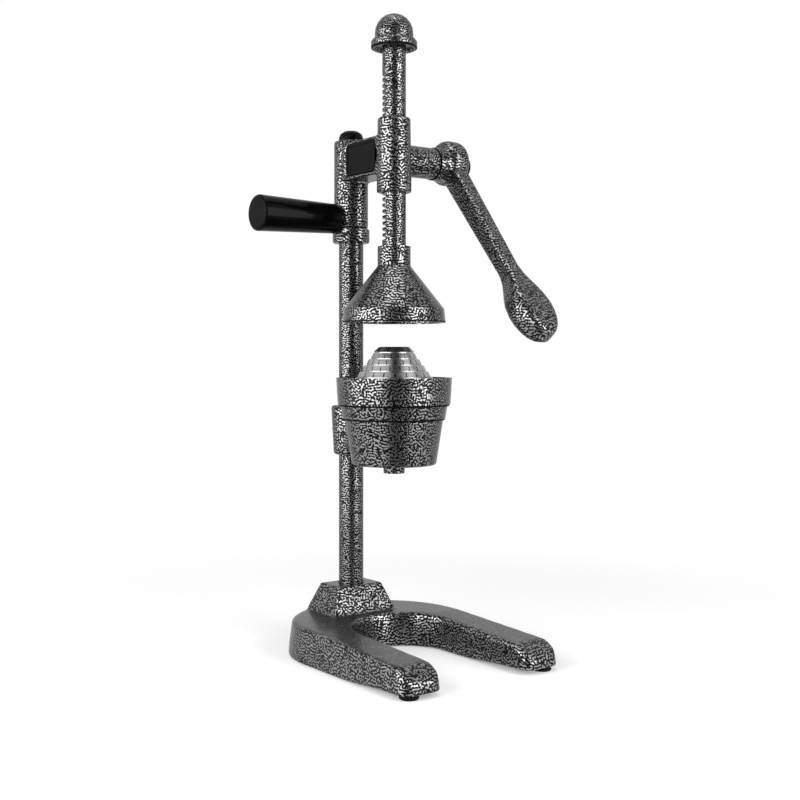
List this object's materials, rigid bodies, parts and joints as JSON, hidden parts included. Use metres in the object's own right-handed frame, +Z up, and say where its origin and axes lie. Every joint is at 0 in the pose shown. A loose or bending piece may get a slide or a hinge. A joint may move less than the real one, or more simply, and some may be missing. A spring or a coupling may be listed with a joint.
{
  "type": "hand press juicer",
  "caption": "Free-standing hand press for citrus: a lever turns a pinion that drives a toothed rod and bell down on a strainer cone over a cup with a spout.",
  "frame": {"origin": "on the floor, in the middle of the footprint's bounding box", "axes": "+Z up, the open ends of the legs point to -Y, the lever is on +X and the side handle on -X"},
  "size_m": [0.24, 0.27, 0.675],
  "materials": {
    "hammertone": "charcoal hammertone enamel with silver veins",
    "rubber": "matt black",
    "steel": "zinc plated",
    "bronze": "plain bearing bronze",
    "polished_steel": "polished stainless",
    "black_plastic": "satin black",
    "gloss_grip": "glossy black"
  },
  "bodies": {
    "stand": {"base_casting": "hammertone", "collar_set_screw": "steel", "column_bolt": "steel", "column_insert": "steel", "column_plug": "black_plastic", "column_tube": "hammertone", "column_washer": "steel", "cup_holder": "hammertone", "foot_front_left": "rubber", "foot_front_right": "rubber", "foot_rear_left": "rubber", "foot_rear_right": "rubber", "foot_screws": "steel", "handle_stud": "steel", "head_casting": "hammertone", "head_collar": "hammertone", "head_set_screw": "steel", "holder_screw": "steel", "inner_bush": "bronze", "juice_cup": "hammertone", "outer_bush": "bronze", "side_handle": "gloss_grip", "side_plate": "black_plastic", "strainer_cone": "polished_steel"},
    "lever": {"pinion_shaft": "steel", "lever": "hammertone", "lever_washer": "steel", "lever_bolt": "steel", "lever_cap": "black_plastic"},
    "rack": {"rack_rod": "hammertone", "top_knob": "hammertone", "press_bell": "hammertone", "press_liner": "polished_steel", "liner_screw": "steel"}
  },
  "joints": [
    {"name": "lever_turn", "type": "hinge", "parent": "stand", "child": "lever", "pos_m": [0.06, 0.0383, 0.527], "axis": [1, 0, 0], "range_deg": [-220.9, 294.5]},
    {"name": "rack_slide", "type": "slide", "parent": "stand", "child": "rack", "axis": [0, 0, 1], "range_m": [-0.072, 0.054]}
  ],
  "couplings": [
    {"joint": "rack_slide", "follows": "lever_turn", "m_per_rad": -0.014}
  ]
}
